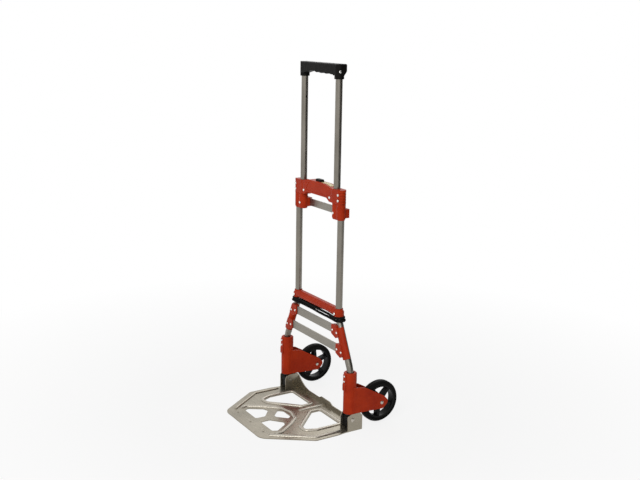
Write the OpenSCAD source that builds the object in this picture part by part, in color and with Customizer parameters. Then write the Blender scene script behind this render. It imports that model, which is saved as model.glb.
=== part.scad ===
// Folding hand truck: two bent side tubes, a telescoping handle on a spring latch,
// and a pressed toe plate whose mitre gears swing the wheel brackets flat as it folds.
// +Z is up, the toe plate points to -Y, and the origin lies on the floor between the tubes.

/* [Tubes] */
// Outside diameter of every round tube
tube_d = 20.4; // [18:0.2:21.4]
// Wall of the round tubes
tube_wall = 1.5; // [1.2:0.1:2]
// Centre distance of the side tubes along their straight upper run
side_span = 236; // [228:1:250]
// Centre distance of the side tubes at their feet
foot_span = 372.4; // [366:0.2:380]
// Height where the straight upper run would meet the splayed run
splay_top_z = 327; // [322:1:330]
// Height where the splayed run would meet the foot
splay_low_z = 185; // [184:1:192]
// Bend radius on the tube's centre line
bend_r = 60; // [45:1:60]
// Space between a side tube and the handle tube beside it
tube_gap = 3.6; // [2:0.1:5]

/* [Handle] */
// Height of the grip's top with the handle pulled out
grip_top_z = 1070.5; // [1040:0.5:1100]
// Height of the whole grip, sockets included
grip_h = 42.5; // [40:0.5:50]
// How far the sockets reach below the hand bar
socket_drop = 16; // [12:0.5:20]
// Plastic wall around a handle tube in the grip
socket_wall = 3.7; // [2:0.1:4]
// Depth of the hand bar in front of the tube axes
grip_front = 14; // [13.5:0.5:18]
// Depth of the hand bar behind the tube axes
grip_back = 19; // [16:0.5:24]
// Number of finger ridges under the hand bar
finger_count = 4; // [2:1:5]
// Distance between finger ridges
finger_pitch = 28; // [22:0.5:30]
// Height of the finger ridges
finger_h = 3.2; // [1:0.1:4]
// How far the handle slides down into the frame
travel = 264; // [240:1:264]

/* [Latch housing] */
// Height of the housing's lower ends
housing_z = 673; // [665:0.5:680]
// Height of the housing's ends
housing_h = 42; // [40:0.5:46]
// Depth of the housing's ends
housing_depth = 27; // [26:0.5:34]
// Depth of the housing's middle
waist_depth = 25; // [24:0.5:27]
// Half width of the raised middle
crown_half = 46; // [40:0.5:52]
// How far the middle rises above the ends
crown_rise = 7; // [5:0.5:10]
// How far the middle's underside is arched up
arch_rise = 9.5; // [8:0.5:12]
// Half width of the underside's arch
arch_half = 76; // [72:0.5:78]
// Wall of the two housing shells
shell_wall = 2.5; // [2:0.1:3]
// Width of the release button
button_w = 30; // [24:0.5:32]
// Depth of the release button
button_depth = 13; // [10:0.5:15]
// How far the button stands above the housing
button_rise = 7; // [5.5:0.5:9]
// How far the button presses down
button_stroke = 5; // [4:0.1:5.2]
// Diameter of a latch rod
latch_d = 5; // [4:0.5:6]
// Gap between the tip of a latch rod and the handle tube
latch_gap = 0.3; // [0.2:0.05:1]

/* [Slider] */
// Height of the sliding collars
slider_h = 47; // [40:0.5:47]
// Plastic wall of the sliding collars
slider_wall = 2.75; // [2:0.05:4]
// Height of the flat bar between the sliding collars
slide_bar_h = 22.5; // [16:0.5:26]
// Thickness of the flat bars
bar_t = 3; // [2:0.1:4]

/* [Crosspiece] */
// Height of the crosspiece's underside
cross_z = 336; // [334:0.5:338]
// Height of the crosspiece
cross_h = 23; // [20:0.5:23.5]
// How far the crosspiece bulges in front of the tube axes
cross_bulge = 17; // [15:0.5:20]
// Plastic wall of the collars at its ends
cross_wall = 5.2; // [3:0.1:6]

/* [Ladder] */
// Height of the upper end of the ladder sleeves
sleeve_top_z = 302; // [298:0.5:304]
// Height of the lower end of the ladder sleeves
sleeve_low_z = 216; // [212:0.5:222]
// Plastic wall of the ladder sleeves
sleeve_wall = 4.4; // [3:0.1:5]
// Height of the middle of the upper flat bar
upper_bar_z = 295.2; // [292:0.2:297]
// Height of the middle of the lower flat bar
lower_bar_z = 241.6; // [239:0.2:244]
// Height of the ladder's flat bars
ladder_bar_h = 26; // [20:0.5:26]
// How far a lug reaches in from its sleeve
lug_reach = 30; // [28:0.5:34]

/* [Toe plate] */
// Thickness of the pressed sheet
plate_t = 3; // [2.5:0.1:3.4]
// How far the toe plate reaches in front of the tube axes
toe_reach = 262; // [256:1:272]
// Width of the toe plate's front edge
toe_front_w = 224; // [212:1:232]
// How far back the slanted front corners run
toe_shoulder = 127; // [120:1:134]
// Distance of the rear wall's back from the tube axes
toe_back = 35; // [34:0.5:35.5]
// Height of the ribs pressed into the sheet
rib_h = 3.4; // [2:0.1:3.5]
// Width of the pressed ribs
rib_w = 9; // [7:0.5:10]
// Height of the toe hinge above the floor
hinge_z = 36; // [35.8:0.1:36.4]
// Diameter of the toe hinge pins
hinge_pin_d = 8; // [6:0.5:9]

/* [Wheel brackets] */
// Outside diameter of the bracket's upright boss
boss_d = 39; // [38:0.5:40]
// Height of the top of the boss
boss_top_z = 181; // [176:0.5:182]
// Gap under the boss, above the toe plate's ears
boss_gap = 0.7; // [0.5:0.1:0.9]
// Thickness of the fork plates
fork_t = 3.4; // [3:0.1:3.6]
// Teeth of a full mitre gear
gear_teeth = 16; // [16:4:20]
// Pitch radius of the mitre gears
gear_r = 13; // [12.9:0.1:13.1]

/* [Wheels] */
// Wheel diameter
wheel_d = 128.6; // [120:0.2:130]
// Width of the tyre
tyre_w = 28; // [24:0.5:30]
// Thickness of the tyre
tyre_t = 13; // [10:0.5:15]
// Height of the wheels' axles
axle_z = 71.2; // [68:0.2:73]
// Distance of the axles behind the tube axes
axle_back = 103.6; // [103:0.1:108]
// Axle diameter
axle_d = 8; // [6:0.5:10]
// Diameter of the hub's boss
hub_d = 34; // [30:0.5:38]
// Number of wheel spokes
spokes = 5; // [4:1:7]
// Width of a spoke
spoke_w = 10; // [8:0.5:13]

/* [Cord] */
// Diameter of the elastic cord
cord_d = 7.5; // [5:0.5:8]

/* [Fits] */
// Space left where a tube slides or a bracket swivels
slide_gap = 0.3; // [0.2:0.05:0.35]
// Space left around a turning pin
run_gap = 0.06; // [0.03:0.01:0.1]
// Space left where one fixed piece seats in another
seat_gap = 0.1; // [0.05:0.05:0.15]

/* [Hidden] */
$fn = 48;
eps = 0.01;

tube_r = tube_d / 2;
bore_r = tube_r - tube_wall;
side_x = side_span / 2;
foot_x = foot_span / 2;
handle_x = side_x - tube_d - tube_gap;
splay = atan((foot_x - side_x) / (splay_top_z - splay_low_z));
bend_cut = bend_r * tan(splay / 2);
splay_len = norm([foot_x - side_x, splay_top_z - splay_low_z]) - 2 * bend_cut;

housing_top = housing_z + housing_h;
crown_z = housing_top + crown_rise;
arch_z = housing_z + arch_rise;
housing_half = side_x + housing_depth / 2;
tube_seat_r = tube_r + seat_gap;
tube_slide_r = tube_r + slide_gap;
latch_z = housing_z + 30;
side_top_z = housing_top - 4;

slider_top = housing_z - slide_gap;
slider_z = slider_top - slider_h;
slider_r = tube_slide_r + slider_wall;
slider_floor = 3;
handle_low_z = slider_z + slider_floor;
socket_z = grip_top_z - grip_h;
hand_bar_z = socket_z + socket_drop;
handle_top_z = grip_top_z - 5;
socket_r = tube_seat_r + socket_wall;
grip_half = handle_x + socket_r;

function on_splay(z) = side_x + (splay_top_z - z) * tan(splay);

// Lateral place of the side tube's axis at height z, bend included
function tube_axis(z) =
    let (drop = splay_top_z + bend_cut - z)
    drop <= 0
        ? side_x
        : drop < bend_r * sin(splay)
        ? side_x + bend_r - sqrt(bend_r * bend_r - drop * drop)
        : on_splay(z);

ear_t = plate_t;
boss_r = boss_d / 2;
ear_out_x = foot_x + boss_r - 1.7;
ear_in_x = foot_x - boss_r + 0.8;
gear_back = ear_out_x - foot_x;
ear_top_r = 18.2;
boss_z = hinge_z + ear_top_r + boss_gap;
flange_t = 3;
foot_z = boss_z + flange_t + slide_gap;

bolt_head_d = 8;
rivet_d = 8;
rivet_h = 2.4;

// A polygon's corners [x, y, radius] with their round corners worked out
function corner(a, p, b, r, n) =
    let (
        u = (a - p) / norm(a - p),
        v = (b - p) / norm(b - p),
        half = acos(u * v) / 2,
        c = p + (u + v) / norm(u + v) * r / sin(half),
        s = p + u * r / tan(half) - c,
        e = p + v * r / tan(half) - c,
        start = atan2(s.y, s.x),
        turn = (atan2(e.y, e.x) - start + 540) % 360 - 180
    )
    [for (i = [0:n]) c + r * [cos(start + turn * i / n), sin(start + turn * i / n)]];

function rounded(pts, n = 4) =
    let (last = len(pts))
    [for (i = [0:last - 1])
        let (
            p = pts[i],
            a = pts[(i + last - 1) % last],
            b = pts[(i + 1) % last]
        )
        each p.z > 0 ? corner([a.x, a.y], [p.x, p.y], [b.x, b.y], p.z, n) : [[p.x, p.y]]];

// The left half of a symmetric outline is the right half's corners in reverse
function both_sides(right) =
    concat(right, [for (i = [len(right) - 1:-1:0]) [-right[i].x, right[i].y, right[i].z]]);

// A polygon's corners moved out by d, for corners that run anticlockwise
function grown(pts, d) =
    let (last = len(pts))
    [for (i = [0:last - 1])
        let (
            p = [pts[i].x, pts[i].y],
            a = [pts[(i + last - 1) % last].x, pts[(i + last - 1) % last].y],
            b = [pts[(i + 1) % last].x, pts[(i + 1) % last].y],
            u = (p - a) / norm(p - a),
            v = (b - p) / norm(b - p),
            n1 = [u.y, -u.x],
            n2 = [v.y, -v.x],
            q = p + d * (n1 + n2) / (1 + n1 * n2)
        )
        [q.x, q.y, pts[i].z + d]];

// Sideways direction of a flat path at point i, lengthened at a corner to keep the width
function side_of(path, i, closed) =
    let (
        last = len(path),
        a = closed || i > 0 ? path[(i + last - 1) % last] : path[0] * 2 - path[1],
        b = closed || i < last - 1 ? path[(i + 1) % last] : path[last - 1] * 2 - path[last - 2],
        u = (path[i] - a) / norm(path[i] - a),
        v = (b - path[i]) / norm(b - path[i]),
        n1 = [u.y, -u.x],
        n2 = [v.y, -v.x]
    )
    (n1 + n2) / (1 + n1 * n2);

// Skin of a sweep: rings of points joined to the next ring, with end caps if it is open
module skin(rings, closed) {
    ring = len(rings[0]);
    count = len(rings);
    last = closed ? count - 1 : count - 2;
    walls = [for (i = [0:last], j = [0:ring - 1])
        let (
            k = (i + 1) % count,
            a = i * ring + j,
            b = i * ring + (j + 1) % ring,
            c = k * ring + (j + 1) % ring,
            d = k * ring + j
        )
        each [[a, b, c], [a, c, d]]];
    caps = closed ? [] : [
        [for (j = [ring - 1:-1:0]) j],
        [for (j = [0:ring - 1]) (count - 1) * ring + j],
    ];
    polyhedron([for (r = rings) each r], concat(walls, caps), convexity = 6);
}

// Open path with one more point near each end, where a rib starts to sink into the sheet
function with_ends(path) =
    let (
        last = len(path) - 1,
        first_way = path[1] - path[0],
        last_way = path[last - 1] - path[last]
    )
    concat([path[0], path[0] + first_way * rib_w / 2 / norm(first_way)],
        [for (i = [1:last - 1]) path[i]],
        [path[last] + last_way * rib_w / 2 / norm(last_way), path[last]]);

// Pressed rib: a low rounded ridge that follows a flat path on the sheet, its ends sloping down
module rib(path, closed = false) {
    half = rib_w / 2;
    sunk = plate_t / 2;
    profile = concat([[half, -sunk]],
        [for (a = [30:30:150]) [half * cos(a), rib_h * sin(a)]],
        [[-half, -sunk]]);
    line = closed ? path : with_ends(path);
    rings = [for (i = [0:len(line) - 1])
        let (
            side = side_of(line, i, closed),
            low = !closed && (i == 0 || i == len(line) - 1)
        )
        [for (p = profile)
            [line[i].x + side.x * p.x, line[i].y + side.y * p.x,
             plate_t + (low ? min(p.y, -0.4) : p.y)]]];
    skin(rings, closed);
}

// Solid of revolution whose outside runs through the [r, z] points, from its foot up
module collar(side) {
    rotate_extrude()
        polygon(concat([[0, side[0].y]], side, [[0, side[len(side) - 1].y]]));
}

// Rivet or screw head with a domed top, pointing up from its seat
module head(d, h) {
    cylinder(d = d, h = h * 0.45);
    translate([0, 0, h * 0.45])
        cylinder(d1 = d, d2 = d * 0.55, h = h * 0.55);
}

// Rivet that enters a front face: its head in front, its shank reaching back by len
module front_rivet(x, y, z, len, d = rivet_d) {
    translate([x, y, z])
        rotate([90, 0, 0]) {
            head(d, rivet_h);
            translate([0, 0, -len])
                cylinder(d = d / 2, h = len + eps);
        }
}

module shank_hole(x, y, z, len, d = rivet_d) {
    translate([x, y + len + seat_gap, z])
        rotate([90, 0, 0])
            cylinder(d = d / 2 + 2 * seat_gap, h = len + 1);
}

module both() {
    children();
    mirror([1, 0, 0])
        children();
}

// ---- Side tubes ----

bend_lap = 1;
bend_thin = 0.3;

// The right side tube as a solid rod of radius r; bending draws the tube a little thinner,
// and the straight runs lap over the bends
module side_rod(r, over = 0) {
    translate([foot_x, 0, foot_z - over])
        cylinder(r = r, h = splay_low_z - bend_cut - foot_z + over + bend_lap);
    translate([foot_x - bend_r, 0, splay_low_z - bend_cut])
        rotate([90, 0, 0])
            rotate_extrude(angle = splay)
                translate([bend_r, 0])
                    circle(r = r - bend_thin);
    translate([on_splay(splay_low_z), 0, splay_low_z])
        rotate([0, -splay, 0])
            translate([0, 0, bend_cut - bend_lap])
                cylinder(r = r, h = splay_len + 2 * bend_lap);
    translate([side_x + bend_r, 0, splay_top_z + bend_cut])
        rotate([90, 0, 0])
            rotate([0, 0, 180])
                rotate_extrude(angle = splay)
                    translate([bend_r, 0])
                        circle(r = r - bend_thin);
    translate([side_x, 0, splay_top_z + bend_cut - bend_lap])
        cylinder(r = r, h = side_top_z - splay_top_z - bend_cut + bend_lap + over);
}

module side_tube() {
    difference() {
        side_rod(tube_r);
        side_rod(bore_r, 1);
        translate([foot_x, 0, foot_pin_z])
            rotate([90, 0, 0])
                cylinder(r = foot_pin_r + seat_gap, h = tube_d + 2, center = true);
    }
}

module side_tube_right() {
    color("silver")
        side_tube();
}

module side_tube_left() {
    color("silver")
        mirror([1, 0, 0])
            side_tube();
}

foot_pin_z = foot_z + 17;
foot_pin_r = 2;

// Spring pins that lock the hinge blocks into the tubes, flush with the outside
module foot_pins() {
    color("dimgray")
        both()
            translate([foot_x, 0, foot_pin_z])
                rotate([90, 0, 0])
                    cylinder(r = foot_pin_r, h = tube_d - 0.8, center = true);
}

// ---- Hinge blocks ----

block_in = foot_x - ear_in_x - slide_gap;
block_out = 8;
block_top = 8;
block_front = 11.5;
block_back = 12;
block_sweep_r = hinge_z - plate_t - 2;
spigot_len = 30;

// Black foot under each tube: it carries the toe hinge and bears the turning bracket
module hinge_block() {
    difference() {
        union() {
            translate([foot_x - block_in, 0, hinge_z])
                rotate([90, 0, 90])
                    linear_extrude(block_in + block_out)
                        intersection() {
                            circle(r = block_sweep_r);
                            translate([-block_front, -block_sweep_r])
                                square([block_front + block_back, block_sweep_r + block_top]);
                            translate([-block_front, -26])
                                square([block_front + block_back, 26 + block_top]);
                        }
            translate([foot_x - block_in, -block_back, hinge_z])
                cube([block_in - 14.6 * gear_r / 13 - slide_gap, 2 * block_back,
                      boss_z - slide_gap - hinge_z]);
            translate([foot_x, 0, hinge_z + block_top - eps])
                cylinder(r = bore_r - seat_gap, h = foot_z + spigot_len - hinge_z - block_top);
            translate([foot_x, 0, hinge_z])
                rotate([0, 90, 0])
                    cylinder(r = 6.5, h = gear_face - slide_gap);
        }
        translate([foot_x, 0, hinge_z])
            rotate([0, 90, 0])
                cylinder(r = hinge_pin_d / 2 + run_gap, h = 3 * foot_x, center = true);
        translate([foot_x, 0, foot_pin_z])
            rotate([90, 0, 0])
                cylinder(r = foot_pin_r + seat_gap, h = tube_d + 2, center = true);
    }
}

module hinge_block_right() {
    color([0.1, 0.1, 0.1])
        hinge_block();
}

module hinge_block_left() {
    color([0.1, 0.1, 0.1])
        mirror([1, 0, 0])
            hinge_block();
}

// ---- Latch housing ----

end_half = housing_depth / 2;
waist_half = waist_depth / 2;
end_in_x = handle_x - tube_slide_r;
cavity_half_x = end_in_x - shell_wall;

housing_front_view = rounded(both_sides([
    [housing_half, housing_z, 4], [housing_half, housing_top, 4],
    [arch_half + 6, housing_top, 8], [crown_half, crown_z, 14]]));

housing_under = rounded([
    [arch_half + 4, housing_z - 6, 0], [arch_half - 20, arch_z, 9],
    [-arch_half + 20, arch_z, 9], [-arch_half - 4, housing_z - 6, 0]]);

housing_plan = rounded(both_sides([
    [arch_half + 4, -waist_half, 4], [arch_half + 9, -end_half, 4],
    [housing_half, -end_half, end_half - 0.5], [housing_half, end_half, end_half - 0.5],
    [arch_half + 9, end_half, 4], [arch_half + 4, waist_half, 4]]), 8);

button_gap = 0.3;
flange_half = button_w / 2 + 4.5;
pin_x = flange_half - 3.5;
slot_r = 1.8;
cross_pin_r = 1.5;

module housing_cavity() {
    low = arch_z + shell_wall;
    top = housing_top - shell_wall;
    shape = both_sides([
        [cavity_half_x, low, 2], [cavity_half_x, top, 2],
        [crown_half - 2, crown_z - shell_wall, 8]]);
    rotate([90, 0, 0])
        linear_extrude(waist_depth - 2 * shell_wall, center = true)
            polygon(rounded(shape));
}

groove_in = 0;

// Shallow groove round the housing's end, following the end's plan
module groove() {
    translate([0, end_half + 1, 0])
        difference() {
            translate([0, -end_half - 1, 0])
                cube([end_half + 2, housing_depth + 2, 2.6]);
            translate([0, 0, -1])
                cylinder(r = end_half - 1.2, h = 5);
            translate([-1, -end_half - 2, -1])
                cube([4, housing_depth + 4, 5]);
        }
}

module housing_solid() {
    difference() {
        intersection() {
            rotate([90, 0, 0])
                linear_extrude(housing_depth + 2, center = true)
                    difference() {
                        polygon(housing_front_view);
                        polygon(housing_under);
                    }
            translate([0, 0, housing_z - 1])
                linear_extrude(housing_h + crown_rise + 2)
                    polygon(housing_plan);
        }
        housing_cavity();
        both() {
            translate([side_x, 0, housing_z - 1])
                cylinder(r = tube_seat_r, h = side_top_z + 1.2 - housing_z);
            translate([handle_x, 0, housing_z - 1])
                cylinder(r = tube_slide_r, h = housing_h + crown_rise + 2);
            translate([0, 0, latch_z])
                rotate([0, 90, 0])
                    cylinder(r = latch_d / 2 + run_gap, h = handle_x);
            for (i = [0:3])
                translate([side_x + groove_in, -end_half - 1, housing_z + 7.5 + i * 8])
                    groove();
        }
        translate([-button_w / 2 - button_gap, -button_depth / 2 - button_gap, latch_z])
            cube([button_w + 2 * button_gap, button_depth + 2 * button_gap, 40]);
    }
}

screw_in_x = min(arch_half - 3, handle_x - 21);

// Front face pocket with round corners, where a badge would sit
module face_pocket() {
    shape = [[screw_in_x - 11, arch_z + 6, 4], [crown_half - 2, crown_z - 5, 8],
             [-crown_half + 2, crown_z - 5, 8], [-screw_in_x + 11, arch_z + 6, 4]];
    translate([0, -waist_half + 0.8, 0])
        rotate([90, 0, 0])
            linear_extrude(3)
                polygon(rounded(shape));
}

housing_screw_places = [
    [screw_in_x, waist_half, arch_z + 3], [side_x + 2, end_half, housing_z + 10.5],
    [side_x + 2, end_half, housing_z + 27]];

module housing_front() {
    color([0.72, 0.2, 0.12])
        difference() {
            intersection() {
                housing_solid();
                translate([-200, -50, 0])
                    cube([400, 50, 2000]);
            }
            face_pocket();
            screw_pockets();
            inlay_seat();
        }
}

module housing_rear() {
    color([0.72, 0.2, 0.12])
        difference() {
            intersection() {
                housing_solid();
                translate([-200, 0, 0])
                    cube([400, 50, 2000]);
            }
            inlay_seat();
        }
}

screw_len = 4.5;

module screw_pockets() {
    both()
        for (p = housing_screw_places)
            shank_hole(p.x, -p.y, p.z, p.x < side_x ? screw_len : 2, bolt_head_d);
}

module housing_screws() {
    color([0.9, 0.9, 0.88])
        both()
            for (p = housing_screw_places)
                front_rivet(p.x, -p.y, p.z, p.x < side_x ? screw_len : 2, bolt_head_d);
}

inlay_z = crown_z - 1;
inlay_x = button_w / 2 + 3;

// Pale strip let into the top of the housing beside the button
module inlay_shape(grow) {
    translate([inlay_x - grow, -1.5 - grow, inlay_z])
        cube([crown_half - 8 - inlay_x + 2 * grow, 9 + 2 * grow, 2]);
}

module inlay_seat() {
    inlay_shape(seat_gap);
}

module top_inlay() {
    color([0.93, 0.86, 0.55])
        translate([0, 0, seat_gap])
            inlay_shape(0);
}

// ---- Release button and latches ----

flange_top = crown_z - shell_wall - button_gap;
cheek_in = 3;
cheek_t = 2.5;
cross_pin_z = latch_z;
spring_r = 3.6;
spring_wire = 1;
spring_low = arch_z + shell_wall;
spring_top = flange_top - 6;

module release_button() {
    color([0.08, 0.08, 0.08])
        difference() {
            union() {
                translate([0, 0, flange_top - 4])
                    linear_extrude(crown_z + button_rise - flange_top + 2.6)
                        polygon(rounded(both_sides([
                            [button_w / 2, -button_depth / 2, 2],
                            [button_w / 2, button_depth / 2, 2]])));
                translate([0, 0, crown_z + button_rise - 1.5])
                    linear_extrude(1.5)
                        polygon(rounded(both_sides([
                            [button_w / 2 - 1, -button_depth / 2 + 1, 2],
                            [button_w / 2 - 1, button_depth / 2 - 1, 2]])));
                translate([-flange_half, -button_depth / 2, flange_top - 6])
                    cube([2 * flange_half, button_depth, 6]);
                for (s = [-1, 1], t = [-1, 1])
                    translate([t * (flange_half - 6) - 6, s * (cheek_in + cheek_t / 2) - cheek_t / 2,
                               cross_pin_z - cross_pin_r - 2.5])
                        cube([12, cheek_t, flange_top - cross_pin_z + cross_pin_r + 2.5]);
            }
            for (s = [-1, 1])
                translate([s * pin_x, 0, cross_pin_z])
                    rotate([90, 0, 0])
                        cylinder(r = cross_pin_r + seat_gap, h = 40, center = true);
        }
}

// Pins through the button's cheeks, each riding in the slanted slot of a latch
module button_cross_pins() {
    color("silver")
        for (s = [-1, 1])
            translate([s * pin_x, 0, cross_pin_z])
                rotate([90, 0, 0])
                    cylinder(r = cross_pin_r, h = 2 * (cheek_in + cheek_t), center = true);
}

// Compression spring between the housing's floor and the button
module button_spring() {
    turns = 6;
    steps = 12;
    span = spring_top - spring_low - spring_wire - 0.1;
    rings = [for (i = [0:turns * steps])
        let (
            a = i * 360 / steps,
            z = spring_low + spring_wire / 2 + 0.05 + span * i / (turns * steps)
        )
        [for (j = [0:5])
            let (b = -j * 60, r = spring_r + spring_wire / 2 * cos(b))
            [r * cos(a), r * sin(a), z + spring_wire / 2 * sin(b)]]];
    color("gray")
        skin(rings, false);
}

latch_t = 2 * (cheek_in - slide_gap);
latch_in = pin_x - slot_r - 2.5;
latch_out = pin_x + button_stroke + slot_r + 2.5;
latch_tip = handle_x - tube_r - latch_gap;

// Latch: a slotted plate that the button pulls inwards, with a round rod into the tube
module latch() {
    difference() {
        union() {
            translate([latch_in, -latch_t / 2, latch_z - button_stroke - slot_r - 2.5])
                cube([latch_out - latch_in, latch_t, button_stroke + 2 * slot_r + 5]);
            translate([latch_out - 1, 0, latch_z])
                rotate([0, 90, 0])
                    cylinder(d = latch_d, h = latch_tip - latch_out);
            translate([latch_tip - 1 - eps, 0, latch_z])
                rotate([0, 90, 0])
                    cylinder(d1 = latch_d, d2 = latch_d - 1.4, h = 1 + eps);
        }
        translate([pin_x, 0, latch_z])
            rotate([90, 0, 0])
                cylinder(r = slot_r, h = 20, center = true);
        translate([pin_x + button_stroke, 0, latch_z - button_stroke])
            rotate([90, 0, 0])
                cylinder(r = slot_r, h = 20, center = true);
        translate([pin_x, 0, latch_z])
            rotate([0, 45, 0])
                translate([0, -10, -slot_r])
                    cube([button_stroke * sqrt(2), 20, 2 * slot_r]);
    }
}

module latch_right() {
    color("lightgray")
        latch();
}

module latch_left() {
    color("lightgray")
        mirror([1, 0, 0])
            latch();
}

// ---- Handle ----

lock_hole_r = latch_d / 2 + 0.3;

module handle_tube() {
    difference() {
        translate([handle_x, 0, handle_low_z])
            cylinder(r = tube_r, h = handle_top_z - handle_low_z);
        translate([handle_x, 0, handle_low_z - 1])
            cylinder(r = bore_r, h = handle_top_z - handle_low_z + 2);
        for (z = [latch_z, latch_z + travel])
            translate([handle_x - tube_d, 0, z])
                rotate([0, 90, 0])
                    cylinder(r = lock_hole_r, h = tube_d);
        shank_hole(handle_x, -tube_r - 1, slide_screw_z, 6);
        translate([handle_x, grip_rivet_y, grip_rivet_z])
            rotate([0, 90, 0])
                cylinder(r = 2.1, h = tube_d);
    }
}

grip_rivet_z = hand_bar_z + 4.6;

module handle_tube_right() {
    color("silver")
        handle_tube();
}

module handle_tube_left() {
    color("silver")
        mirror([1, 0, 0])
            handle_tube();
}

// Underside of the hand bar: a smooth arch at one side, finger ridges along the rest
function bar_under(x) =
    let (
        half = handle_x - socket_r,
        first = half - finger_count * finger_pitch + 8,
        arch = grip_top_z - 24,
        step = max(0, min(1, (x - first) / 24)),
        slope = 3.4 * step * step * (3 - 2 * step) + max(0, x - first - 24) / 60,
        ridge = x < first ? 0 : finger_h / 2 * (1 - cos(360 * (x - first) / finger_pitch)),
        edge = 9 * pow(max(0, (first - 8 - x) / (half + first - 8)), 1.6)
    )
    arch - slope - ridge * 0.5 - edge;

module hand_bar() {
    half = handle_x - socket_r + 1;
    under = [for (i = [0:60]) let (x = -half + 2 * half * i / 60) [x, bar_under(x)]];
    intersection() {
        rotate([90, 0, 0])
            linear_extrude(80, center = true)
                polygon(concat(
                    under,
                    [[half, hand_bar_z - 6]],
                    rounded([
                        [grip_half, hand_bar_z - 6, 0],
                        [grip_half, grip_top_z, 3],
                        [-grip_half, grip_top_z, 3],
                        [-grip_half, hand_bar_z - 6, 0]]),
                    [[-half, hand_bar_z - 6]]));
        translate([-grip_half, 0, 0])
            rotate([90, 0, 90])
                linear_extrude(2 * grip_half)
                    polygon(rounded([
                        [-grip_front, hand_bar_z - 10, 0],
                        [-grip_front, grip_top_z, 6],
                        [grip_back, grip_top_z, 7],
                        [grip_back, grip_top_z - 18, 4],
                        [grip_back - 0.75 * (grip_top_z - hand_bar_z - 8),
                            hand_bar_z - 10, 0]]));
        translate([0, 0, hand_bar_z - 20])
            linear_extrude(grip_top_z - hand_bar_z + 30)
                polygon(rounded([
                    [-grip_half, -grip_front, grip_front - 0.5],
                    [grip_half, -grip_front, grip_front - 0.5],
                    [grip_half, grip_back, 5], [-grip_half, grip_back, 5]], 6));
    }
}

module grip() {
    color([0.09, 0.09, 0.08])
        difference() {
            union() {
                hand_bar();
                both()
                    translate([handle_x, 0, socket_z])
                        cylinder(r = socket_r, h = grip_h - 8);
            }
            both() {
                translate([handle_x, 0, socket_z - 1])
                    cylinder(r = tube_seat_r, h = handle_top_z - socket_z + 1 + seat_gap);
                translate([handle_x, grip_rivet_y, grip_rivet_z])
                    rotate([0, 90, 0])
                        cylinder(r = 2.1, h = tube_d);
                translate([grip_half - grip_spot, grip_rivet_y, grip_rivet_z])
                    rotate([0, 90, 0])
                        cylinder(d = rivet_d + 1, h = 5);
            }
        }
}

grip_rivet_y = -5;
grip_spot = 1.2;

module grip_rivets() {
    color([0.85, 0.85, 0.82])
        both()
            translate([grip_half - grip_spot, grip_rivet_y, grip_rivet_z])
                rotate([0, 90, 0]) {
                    head(rivet_d, rivet_h);
                    translate([0, 0, -6])
                        cylinder(d = rivet_d / 2, h = 6 + eps);
                }
}

// ---- Sliding collars ----

slide_bar_y = 16.5;
slide_bar_z = slider_z + 7.5;
lug_in_x = handle_x - 11;
slide_screw_z = slider_z + 18;

module slider() {
    difference() {
        union() {
            for (x = [handle_x, side_x])
                translate([x, 0, slider_z])
                    collar([[slider_r - 2, 0], [slider_r, 5], [slider_r, slider_h]]);
            translate([handle_x, -tube_r, slider_z])
                cube([side_x - handle_x, tube_d, slider_h]);
            translate([lug_in_x, 2, slide_bar_z - 2])
                cube([side_x - lug_in_x + 7, 22.5, slide_bar_h + 4]);
        }
        translate([side_x, 0, slider_z - 1])
            cylinder(r = tube_slide_r, h = slider_h + 2);
        translate([handle_x, 0, handle_low_z])
            cylinder(r = tube_seat_r, h = slider_h);
        translate([lug_in_x - 1, slide_bar_y - seat_gap, slide_bar_z - seat_gap])
            cube([side_x - lug_in_x - 6, bar_t + 2 * seat_gap, slide_bar_h + 2 * seat_gap]);
        shank_hole(handle_x, -slider_r, slide_screw_z, 9);
    }
}

module slider_right() {
    color([0.78, 0.2, 0.1])
        slider();
}

module slider_left() {
    color([0.78, 0.2, 0.1])
        mirror([1, 0, 0])
            slider();
}

module slider_bar() {
    half = side_x - 9;
    color("silver")
        translate([-half, slide_bar_y, slide_bar_z])
            cube([2 * half, bar_t, slide_bar_h]);
}

module slider_screws() {
    color([0.9, 0.9, 0.88])
        both()
            front_rivet(handle_x, -slider_r, slide_screw_z, 7);
}

// ---- Crosspiece ----

cross_r = tube_seat_r + cross_wall;
cross_rivet_z = cross_z + 8;

module crosspiece() {
    color([0.72, 0.2, 0.12])
        difference() {
            union() {
                translate([6 - side_x, 0, cross_z])
                    rotate([90, 0, 90])
                        linear_extrude(side_span - 12)
                            difference() {
                                polygon(rounded([
                                    [-6, 0, 2], [7, 0, 1.5], [7, cross_h, 1.5],
                                    [-6, cross_h, 3], [-cross_bulge, cross_h * 0.62, 7],
                                    [-cross_bulge + 3, cross_h * 0.2, 6]]));
                                polygon(rounded([
                                    [-4, -1, 0], [4, -1, 0], [4, cross_h - 3, 2],
                                    [-5, cross_h - 3, 2], [-cross_bulge + 4, cross_h * 0.55, 3],
                                    [-cross_bulge + 6, cross_h * 0.3, 2]]));
                            }
                both() {
                    translate([side_x, 0, cross_z])
                        collar([[cross_r, 0], [cross_r, cross_h - 9],
                            [cross_r - 3.2, cross_h - 5], [cross_r - 3.2, cross_h]]);
                    translate([side_x, -cross_r - 1.2, cross_rivet_z])
                        rotate([-90, 0, 0])
                            cylinder(d = rivet_d + 2, h = cross_r);
                }
            }
            both() {
                side_rod(tube_seat_r, 1);
                shank_hole(side_x, -cross_r - 1.2, cross_rivet_z, cross_wall);
            }
        }
}

module crosspiece_rivets() {
    color([0.9, 0.9, 0.88])
        both()
            front_rivet(side_x, -cross_r - 1.2, cross_rivet_z, cross_wall);
}

// ---- Elastic cord ----

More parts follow.
